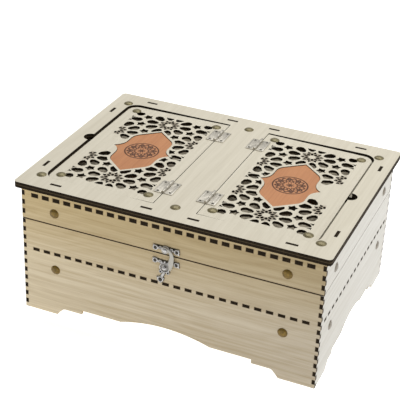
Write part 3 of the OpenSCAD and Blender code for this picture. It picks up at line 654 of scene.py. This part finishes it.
def turned_nail(radius, height, shank, depth, rim):
    """A dome nail along +Z with its seat at the origin: rim, shallow groove, dome, shank and point."""
    deselect()
    bpy.ops.mesh.primitive_circle_add(vertices=40, radius=radius, fill_type="NGON", location=(0, 0, 0))
    nail = bpy.context.object
    bpy.ops.object.mode_set(mode="EDIT")
    bpy.ops.mesh.select_all(action="SELECT")
    level = 0.0
    width = radius
    steps = [(1.0, rim), (0.955, rim + 0.06 * height), (0.90, rim + 0.03 * height)]
    bow = [math.radians(a) for a in (14, 28, 42, 56, 68, 79, 86)]
    steps += [(0.88 * math.cos(a), rim + (height - rim) * math.sin(a)) for a in bow]
    for share, rise in steps:
        bpy.ops.mesh.extrude_region_move(TRANSFORM_OT_translate={"value": (0, 0, rise - level)})
        grow = radius * share / width
        bpy.ops.transform.resize(value=(grow, grow, 1), center_override=(0, 0, rise))
        level = rise
        width = radius * share
    heal()
    bpy.ops.mesh.select_all(action="DESELECT")
    bpy.ops.object.mode_set(mode="OBJECT")
    for face in nail.data.polygons:
        face.select = face.normal.z < -0.9 and face.center.z < 1e-6
    bpy.ops.object.mode_set(mode="EDIT")
    bpy.ops.mesh.select_mode(type="FACE")
    bpy.ops.mesh.inset(thickness=radius - shank, depth=0)
    bpy.ops.mesh.extrude_region_move(TRANSFORM_OT_translate={"value": (0, 0, -depth * 0.7)})
    bpy.ops.mesh.extrude_region_move(TRANSFORM_OT_translate={"value": (0, 0, -depth * 0.3)})
    bpy.ops.transform.resize(value=(0.25, 0.25, 1), center_override=(0, 0, -depth))
    heal()
    bpy.ops.object.mode_set(mode="OBJECT")
    bpy.ops.object.shade_smooth_by_angle(angle=math.radians(38))
    return nail


def outward(low, high, flat):
    """Axis and sign of a nail from its box: flat is its head's diameter."""
    axis = max(range(3), key=lambda k: abs(high[k] - low[k] - flat))
    return axis, 1.0 if (low[axis] + high[axis]) > 0 else -1.0


def upward(body):
    """Direction that stands square on a body's broad sheet: its door, or plain +Z."""
    if body not in DOORS:
        return Vector((0.0, 0.0, 1.0))
    faces = [face for face in frame["nodes"][body].data.polygons if face.normal.z > 0.9]
    return max(faces, key=lambda face: face.area).normal.copy()


def nail_group(node, flat, height, rim):
    """All nails of a CAD node, modelled once and copied."""
    places = solids(node)
    upright = upward(BODY_OF[node])
    axis, _ = outward(*places[0], flat)
    depth = places[0][1][axis] - places[0][0][axis] - height
    model = turned_nail(flat / 2, height, SHANK_RADIUS, depth, rim)
    copies = []
    for low, high in places:
        axis, sign = outward(low, high, flat)
        seat = (low + high) / 2
        seat[axis] = (high[axis] - height) if sign > 0 else (low[axis] + height)
        direction = upright if axis == 2 else Vector([sign if k == axis else 0.0 for k in range(3)])
        turn = direction.to_track_quat("Z", "Y").to_matrix().to_4x4()
        copy = model.copy()
        copy.data = model.data.copy()
        copy.data.transform(Matrix.Translation(seat) @ turn)
        bpy.context.collection.objects.link(copy)
        copies.append(copy)
    pick([model])
    bpy.ops.object.delete()
    pick(copies)
    bpy.ops.object.join()
    return bpy.context.object


def cast(lumps, wall, relief, voxel):
    """Fuses balls, rings and arms into one cast plate that stands off the wall plane at -Y.

    A lump gives its kind, its place along X and Z, its size, and more: a ball's depth, a ring's thickness, or
    the far end and the depth of an arm, all in millimetres.
    """
    deselect()
    made = []
    for kind, x, z, size, more in lumps:
        middle = (x * MM, wall, z * MM)
        if kind == "ball":
            bpy.ops.mesh.primitive_uv_sphere_add(segments=24, ring_count=14, radius=size * MM,
                                                 location=middle)
            bpy.context.object.scale = (1.0, more / size, 1.0)
        elif kind == "ring":
            bpy.ops.mesh.primitive_torus_add(major_segments=32, minor_segments=12, major_radius=size * MM,
                                             minor_radius=more * MM, location=middle,
                                             rotation=(math.pi / 2, 0, 0))
            bpy.context.object.scale = (1.0, 1.0, relief / (more * MM))
        else:
            end = Vector((more[0] * MM, wall, more[1] * MM))
            start = Vector(middle)
            bpy.ops.mesh.primitive_uv_sphere_add(segments=20, ring_count=12, radius=1.0,
                                                 location=(start + end) / 2)
            arm = bpy.context.object
            arm.rotation_euler = (0, -math.atan2(end.z - start.z, end.x - start.x), 0)
            arm.scale = ((end - start).length / 2 + size * MM, more[2] * MM, size * MM)
        made.append(bpy.context.object)
        bpy.ops.object.transform_apply(location=True, rotation=True, scale=True)
    pick(made)
    bpy.ops.object.join()
    plate = bpy.context.object
    melt(plate, voxel, 3, 0.4)
    bpy.ops.object.mode_set(mode="EDIT")
    bpy.ops.mesh.select_all(action="SELECT")
    bpy.ops.mesh.bisect(plane_co=(0, wall, 0), plane_no=(0, 1, 0), use_fill=True, clear_outer=True)
    bpy.ops.object.mode_set(mode="OBJECT")
    bpy.ops.object.shade_smooth_by_angle(angle=math.radians(50))
    return plate


class BOOKBOX_OT_stage(bpy.types.Operator):
    """Camera at the picture's angle, pale floor, white surroundings and two soft lights."""

    bl_idname = "bookbox.stage"
    bl_label = "Studio"

    def execute(self, context):
        look = context.scene.bookbox_studio
        a, e, r = look.azimuth, look.elevation, look.roll
        back = Vector((math.sin(a) * math.cos(e), -math.cos(a) * math.cos(e), math.sin(e)))
        level = Vector((math.cos(a), math.sin(a), 0.0))
        upright = back.cross(level)
        right = level * math.cos(r) + upright * math.sin(r)
        up = upright * math.cos(r) - level * math.sin(r)
        turn = Matrix((right, up, back)).transposed()
        deselect()
        bpy.ops.object.camera_add()
        camera = context.object
        camera.matrix_world = Matrix.Translation(turn @ Vector(look.aim)) @ turn.to_4x4()
        camera.data.lens = look.lens
        camera.data.sensor_width = SENSOR_WIDTH
        context.scene.camera = camera

        bpy.ops.mesh.primitive_plane_add(size=FLOOR_SIZE, location=(0, 0, 0))
        floor = context.object
        floor.name = "studio_floor"
        paint = Finish("pale_floor")
        mottle = paint.noise((14.0, 14.0, 14.0), 3.0)
        deep = tuple(0.97 * c for c in look.floor)
        x, y, _ = paint.axes(paint.place)
        # The floor glows full white under the box, painted light that takes out its shadow, and more dimly
        # beyond it.
        aside = paint.highest([abs(x) - FLOOR_GLOW_PATCH[0], abs(y) - FLOOR_GLOW_PATCH[1]])
        floor.data.materials.append(paint.wear(
            Base_Color=paint.blend(look.floor, deep, mottle.ramp(0.35, 0.65)), Roughness=0.9,
            Emission_Color=paint.blend((1.0, 1.0, 1.0), (look.floor_glow,) * 3, aside.ramp(*FLOOR_GLOW_PATCH_RIM)),
            Emission_Strength=1.0))

        world = bpy.data.worlds.new("white_surroundings")
        world.use_nodes = True
        world.node_tree.nodes["Background"].inputs["Color"].default_value = (1.0, 1.0, 1.0, 1.0)
        world.node_tree.nodes["Background"].inputs["Strength"].default_value = look.sky
        context.scene.world = world

        for place, power in ((KEY_PLACE, look.key), (OVERHEAD_PLACE, look.overhead)):
            bpy.ops.object.light_add(type="AREA", location=place)
            lamp = context.object
            aim = Vector(LAMP_AIM) - Vector(place)
            lamp.rotation_euler = aim.to_track_quat("-Z", "Y").to_euler()
            lamp.data.shape = "SQUARE"
            lamp.data.size = LAMP_SIZE
            lamp.data.energy = power
        context.scene.view_settings.view_transform = "Standard"
        return {"FINISHED"}


def wall_cuts(across, base, lid, shift, first):
    """Cuts that a pair of walls shows: the line between the halves, two rows of slots and the corner fingers.

    shift moves the slots along the wall by a share of their pitch, and first is the lowest finger cut.
    """
    (base_low, base_high), (lid_low, lid_high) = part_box(base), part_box(lid)
    axes = (across, 2)
    edge = base_high[across]
    whole = (base_low.z, lid_high.z)
    cuts = [(axes, (0, 0), (0.0, (base_high.z + lid_low.z) / 2), (edge, (lid_low.z - base_high.z) / 2),
             edge, whole)]
    for node, tab in TAB_LENGTHS.items():
        low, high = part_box(node)
        cuts.append((axes, (TAB_PITCH, 0), (shift * TAB_PITCH, (low.z + high.z) / 2),
                     (tab / 2, (high.z - low.z) / 2), edge - 3 * SHEET, whole))
    for low, high, count in ((base_low, base_high, BASE_FINGERS), (lid_low, lid_high, LID_FINGERS)):
        step = (high.z - low.z) / count
        cuts.append((axes, (0, 2 * step), (edge - SHEET / 2, low.z + (first + 0.5) * step),
                     (SHEET / 2, step / 2), edge, (low.z, high.z)))
    return cuts


class BOOKBOX_OT_sheets(bpy.types.Operator):
    """Veneer with burnt edges on every wooden sheet, some tinted with painted light and shade."""

    bl_idname = "bookbox.sheets"
    bl_label = "Wooden sheets"

    def execute(self, context):
        wood = context.scene.bookbox_wood
        burnt = (wood.scorch, wood.scorch_light)
        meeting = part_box("top_panel")[0].z
        low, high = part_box("right_door")
        middle = ((low.x + high.x) / 2 + FRET_SHIFT, (low.y + high.y) / 2)
        split = (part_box("base_right_wall")[1].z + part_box("lid_right_wall")[0].z) / 2
        front_cuts = wall_cuts(0, "base_front_wall", "lid_front_wall", 0.0, 1)
        side_cuts = wall_cuts(1, "base_right_wall", "lid_right_wall", 0.5, 0)[1:]

        def door_soot(finish, parts):
            return rosette_smoke(finish, parts, middle)

        def front_soot(finish, parts):
            return cut_smoke(finish, parts, front_cuts)

        def side_soot(finish, parts):
            return cut_smoke(finish, parts, side_cuts)

        def door_free_edge(parts):
            return (abs(parts[0]) > high.x - DOOR_EDGE_DEPTH) * (abs(parts[1] - NOTCH_PLACE) > NOTCH_REACH)

        def front_arch(parts):
            return (parts[2] < ARCH_TOP) * (abs(parts[0]) < ARCH_SPAN_FRONT)

        def side_arch_and_split(parts):
            arch = (parts[2] < ARCH_TOP) * (abs(parts[1]) < ARCH_SPAN_SIDE)
            return arch + (abs(parts[2] - split) < SPLIT_REACH)

        dress(TOP_SHEETS, veneer("top_veneer", 2, 1, wood.top_light, wood.top_dark, burnt, TOP_CONTRAST,
                                 seam=(meeting, wood.seam)))
        # The doors' free edges are painted pale wood colour: painted light that lifts the shade in the narrow
        # gaps.
        dress(DOORS, veneer("door_veneer", 2, 1, wood.top_light, wood.top_dark, burnt, TOP_CONTRAST,
                            soot=(wood.smoke, door_soot), pale=(wood.door_edge_painted_light, door_free_edge)))
        # Front and back walls: a warmer copy of the top veneer as painted shade, darker again towards the lid
        # and towards the right.
        dress(FRONT_SHEETS, veneer("front_veneer", 1, 0, wood.front_shade_light, wood.front_shade_dark, burnt,
                                   FRONT_CONTRAST, rise=(*FRONT_SHADE_RISE, wood.lid_shade_light, wood.lid_shade_dark),
                                   soot=(wood.smoke, front_soot), shade_fade=FRONT_SHADE_FADE,
                                   pale=(wood.front_shade_dark, front_arch)))
        # Side walls take a greyer copy of the top veneer as painted light for the lit sides.
        dress(SIDE_SHEETS, veneer("side_veneer", 0, 1, wood.side_lit_light, wood.side_lit_dark, burnt, SIDE_CONTRAST,
                                  soot=(wood.smoke, side_soot), pale=(wood.side_lit_dark, side_arch_and_split)))
        # The floor and the ceiling are darkened as painted shade in the trays under the fretwork.
        dress(INNER_SHEETS, veneer("inner_veneer", 2, 0, wood.inner_shade_light, wood.inner_shade_dark, burnt,
                                   INNER_CONTRAST))
        return {"FINISHED"}


class BOOKBOX_OT_medallions(bpy.types.Operator):
    """Stained medallions with an engraved rosette."""

    bl_idname = "bookbox.medallions"
    bl_label = "Medallions"

    def execute(self, context):
        wood = context.scene.bookbox_wood
        for name in MEDALLIONS:
            low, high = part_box(name)
            dress([name], medallion_wood(name + "_stain", wood, (low + high) / 2, ORNAMENT_HALF))
        return {"FINISHED"}


class BOOKBOX_OT_dome_nails(bpy.types.Operator):
    """Low dome nails of aged brass on the walls, the frame and the doors."""

    bl_idname = "bookbox.dome_nails"
    bl_label = "Dome nails"

    def execute(self, context):
        sizes = context.scene.bookbox_sizes
        metal = context.scene.bookbox_metal
        # Nails on the front, the sides and the top take copies of one brass tinted for the light on each
        # face: painted light and shade.
        brown = aged_brass("wall_brass", metal.brass, metal.brass_dark,
                           (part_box("base_right_wall")[0].x, metal.brass_side_lit, metal.brass_side_lit_dark))
        grey = aged_brass("top_brass", metal.brass_top_lit, metal.brass_top_lit_dark)
        for node in DOME_NAILS:
            group = nail_group(node, DOME_WIDTH, DOME_HEIGHT, sizes.rim)
            brass = brown if node in WALL_NAILS else grey
            settle(group, node + "_turned", BODY_OF[node], brass, [node])
        return {"FINISHED"}


class BOOKBOX_OT_door_hinges(bpy.types.Operator):
    """Plated hinge leaves, pins and small nails of the two doors."""

    bl_idname = "bookbox.door_hinges"
    bl_label = "Door hinges"

    def execute(self, context):
        sizes = context.scene.bookbox_sizes
        metal = context.scene.bookbox_metal
        bright = plating("door_hinge_plating", metal.leaf, metal.leaf_dark, rough=LEAF_ROUGHNESS)
        # The small hinge nails are near black: dark steel, partly painted shade for their shadows.
        dull = plating("hinge_nail_metal", metal.nail_dark_and_shade, metal.plate_dark)
        rounded_pieces(DOOR_LEAVES, sizes.leaf_edge, "_pressed", bright)
        rounded_pieces(["door_hinge_pins"], sizes.pin_edge, "_turned", bright)
        rounded_pieces(LEAF_NAILS, sizes.pin_edge, "_turned", dull)
        return {"FINISHED"}


class BOOKBOX_OT_rear_hinges(bpy.types.Operator):
    """Plated hinges of the lid with their pins and screws."""

    bl_idname = "bookbox.rear_hinges"
    bl_label = "Rear hinges"

    def execute(self, context):
        sizes = context.scene.bookbox_sizes
        metal = context.scene.bookbox_metal
        bright = plating("rear_hinge_plating", metal.leaf, metal.leaf_dark, rough=LEAF_ROUGHNESS)
        rounded_pieces(REAR_LEAVES, sizes.leaf_edge, "_pressed", bright)
        rounded_pieces(["rear_hinge_pins", *REAR_SCREWS], sizes.pin_edge, "_turned", bright)
        return {"FINISHED"}


class BOOKBOX_OT_latch_plates(bpy.types.Operator):
    """Cast and pierced latch plates on the lid and on the base."""

    bl_idname = "bookbox.latch_plates"
    bl_label = "Latch plates"

    def execute(self, context):
        sizes = context.scene.bookbox_sizes
        metal = context.scene.bookbox_metal
        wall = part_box("latch_upper_plate")[1].y
        cast_metal = plating("latch_casting", metal.plate, metal.plate_dark,
                             (1, wall - CAST_DEEP, wall - CAST_PROUD), CAST_ROUGHNESS)
        tall = sizes.relief / MM * 0.8
        px, pz = middle_of("latch_rivet")
        sx, sz = middle_of("latch_stud")
        (lx, lz), (rx, rz) = nail_middles("latch_upper_nails")
        upper = [
            ("ball", px, pz, 4.1, 1.0), ("ring", px, pz, 3.3, 0.7),
            ("arm", px, pz, 1.5, (lx, lz, 1.3)), ("arm", px, pz, 1.5, (rx, rz, 1.3)),
            ("ring", lx, lz, 2.1, 0.85), ("ring", rx, rz, 2.1, 0.85),
            ("ball", lx, lz, 1.9, 0.8), ("ball", rx, rz, 1.9, 0.8),
            ("ball", lx - 1.6, lz + 2.2, 1.0, tall), ("ball", rx + 1.6, rz + 2.2, 1.0, tall),
            ("ball", rx + 1.8, rz - 2.4, 1.3, tall), ("ball", lx - 2.1, lz - 1.8, 1.0, tall),
            ("ring", px - 5.2, lz + 1.0, 1.2, 0.6), ("ring", px + 5.6, rz + 1.0, 1.2, 0.6),
            ("ball", px, pz + 3.0, 1.2, tall),
        ]
        (lx, lz), (tx, tz), (rx, rz) = nail_middles("latch_lower_nails")
        lower = [
            ("ball", sx, sz, 5.6, 1.0), ("ring", sx, sz, 4.7, 0.75),
            ("arm", sx, sz + 4.2, 1.6, (lx, lz, 1.3)), ("arm", sx, sz + 4.2, 1.6, (rx, rz, 1.3)),
            ("ring", lx, lz, 2.1, 0.85), ("ring", rx, rz, 2.1, 0.85),
            ("ball", lx, lz, 1.9, 0.8), ("ball", rx, rz, 1.9, 0.8),
            ("ball", lx - 1.9, lz + 1.8, 1.0, tall), ("ball", rx + 1.9, rz + 1.8, 1.0, tall),
            ("ball", lx - 1.9, lz - 2.0, 1.0, tall), ("ball", rx + 2.1, rz - 2.2, 1.2, tall),
            ("ring", sx - 4.4, sz + 6.0, 1.2, 0.6), ("ring", sx + 4.6, sz + 6.0, 1.2, 0.6),
            ("ball", sx, sz + 6.0, 1.3, tall),
            ("ring", sx - 3.9, sz - 4.8, 1.3, 0.6), ("ring", sx + 3.5, sz - 4.8, 1.3, 0.6),
            ("arm", sx, sz - 4.5, 1.9, (tx, tz + 0.4, 1.2)), ("ring", tx, tz, 2.5, 0.95),
            ("ball", tx, tz, 2.3, 0.8), ("ball", tx, tz - 3.2, 1.3, tall),
            ("ball", tx - 3.2, tz + 1.4, 0.9, tall), ("ball", tx + 3.2, tz + 1.4, 0.9, tall),
        ]
        for node, lumps in (("latch_upper_plate", upper), ("latch_lower_plate", lower)):
            plate = cast(lumps, wall, sizes.relief, sizes.voxel)
            settle(plate, node + "_cast", BODY_OF[node], cast_metal, [node])
        return {"FINISHED"}


class BOOKBOX_OT_latch_hook(bpy.types.Operator):
    """Crescent latch hook with its eye."""

    bl_idname = "bookbox.latch_hook"
    bl_label = "Latch hook"

    def execute(self, context):
        sizes = context.scene.bookbox_sizes
        metal = context.scene.bookbox_metal
        low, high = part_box("latch_hook")
        middle = (low.y + high.y) / 2
        deselect()
        bpy.ops.curve.primitive_bezier_curve_add(location=(0, 0, 0))
        bow = context.object
        spline = bow.data.splines[0]
        px, pz = middle_of("latch_rivet")
        spline.bezier_points.add(len(HOOK_PATH) - len(spline.bezier_points))
        for point, (x, z, width) in zip(spline.bezier_points, HOOK_PATH):
            point.co = ((px + x) * MM, middle, (pz + z) * MM)
            point.handle_left_type = "AUTO"
            point.handle_right_type = "AUTO"
            point.radius = width
        bow.data.bevel_depth = sizes.hook_wire
        bow.data.bevel_resolution = 4
        bow.data.resolution_u = 10
        bow.data.use_fill_caps = True
        pick([bow])
        bpy.ops.object.convert(target="MESH")
        horn = context.object
        bpy.ops.object.mode_set(mode="EDIT")
        bpy.ops.mesh.select_all(action="SELECT")
        bpy.ops.transform.resize(value=(1, 0.28, 1), center_override=(0, middle, 0))
        bpy.ops.object.mode_set(mode="OBJECT")
        bpy.ops.mesh.primitive_uv_sphere_add(segments=28, ring_count=14, radius=HOOK_EYE,
                                             location=(px * MM, middle, pz * MM), scale=(1, 0.17, 1))
        eye = context.object
        bpy.ops.mesh.primitive_torus_add(major_segments=36, minor_segments=12, major_radius=HOOK_EYE_RING[0],
                                         minor_radius=HOOK_EYE_RING[1], location=(px * MM, middle, pz * MM),
                                         rotation=(math.pi / 2, 0, 0))
        rim = context.object
        pick([horn, eye, rim])
        bpy.ops.object.transform_apply(location=True, rotation=True, scale=True)
        bpy.ops.object.join()
        hook = context.object
        melt(hook, sizes.voxel * 0.8, 4, 0.5)
        bpy.ops.object.shade_smooth_by_angle(angle=math.radians(60))
        bright = plating("hook_plating", metal.hook, metal.plate_dark, rough=HOOK_ROUGHNESS)
        settle(hook, "latch_hook_cast", BODY_OF["latch_hook"], bright, ["latch_hook"])
        return {"FINISHED"}


class BOOKBOX_OT_latch_pins(bpy.types.Operator):
    """Rivet, stud and small nails of the latch."""

    bl_idname = "bookbox.latch_pins"
    bl_label = "Latch rivet, stud and nails"

    def execute(self, context):
        sizes = context.scene.bookbox_sizes
        metal = context.scene.bookbox_metal
        bright = plating("latch_pin_plating", metal.plate, metal.plate_dark)
        # The small latch nails are near black: dark steel, partly painted shade for their shadows.
        dull = plating("latch_nail_metal", metal.nail_dark_and_shade, metal.plate_dark)
        rounded_pieces(["latch_rivet", "latch_stud"], sizes.pin_edge, "_turned", bright)
        rounded_pieces(LATCH_NAILS, sizes.pin_edge, "_turned", dull)
        return {"FINISHED"}


STEPS = (BOOKBOX_OT_stage, BOOKBOX_OT_sheets, BOOKBOX_OT_medallions, BOOKBOX_OT_dome_nails,
         BOOKBOX_OT_door_hinges, BOOKBOX_OT_rear_hinges, BOOKBOX_OT_latch_plates, BOOKBOX_OT_latch_hook,
         BOOKBOX_OT_latch_pins)
GROUPS = {"bookbox_wood": WoodColours, "bookbox_metal": MetalColours, "bookbox_sizes": FittingSizes,
          "bookbox_studio": StudioLook}


class BOOKBOX_PT_panel(bpy.types.Panel):
    """Sizes, colours and steps of the book box."""

    bl_idname = "BOOKBOX_PT_panel"
    bl_label = "Book Box"
    bl_space_type = "VIEW_3D"
    bl_region_type = "UI"
    bl_category = "Book Box"

    def draw(self, context):
        for name, group in GROUPS.items():
            box = self.layout.box()
            for key in group.__annotations__:
                box.prop(getattr(context.scene, name), key)
        for step in STEPS:
            self.layout.operator(step.bl_idname)


def register():
    for group in GROUPS.values():
        bpy.utils.register_class(group)
    for name, group in GROUPS.items():
        setattr(bpy.types.Scene, name, bpy.props.PointerProperty(type=group))
    for step in (*STEPS, BOOKBOX_PT_panel):
        bpy.utils.register_class(step)


def unregister():
    for step in (*STEPS, BOOKBOX_PT_panel):
        bpy.utils.unregister_class(step)
    for name in GROUPS:
        delattr(bpy.types.Scene, name)
    for group in GROUPS.values():
        bpy.utils.unregister_class(group)


def main():
    register()
    bpy.ops.bookbox.stage()
    bpy.ops.bookbox.sheets()
    bpy.ops.bookbox.medallions()
    bpy.ops.bookbox.dome_nails()
    bpy.ops.bookbox.door_hinges()
    bpy.ops.bookbox.rear_hinges()
    bpy.ops.bookbox.latch_plates()
    bpy.ops.bookbox.latch_hook()
    bpy.ops.bookbox.latch_pins()


if __name__ == "__main__":
    main()
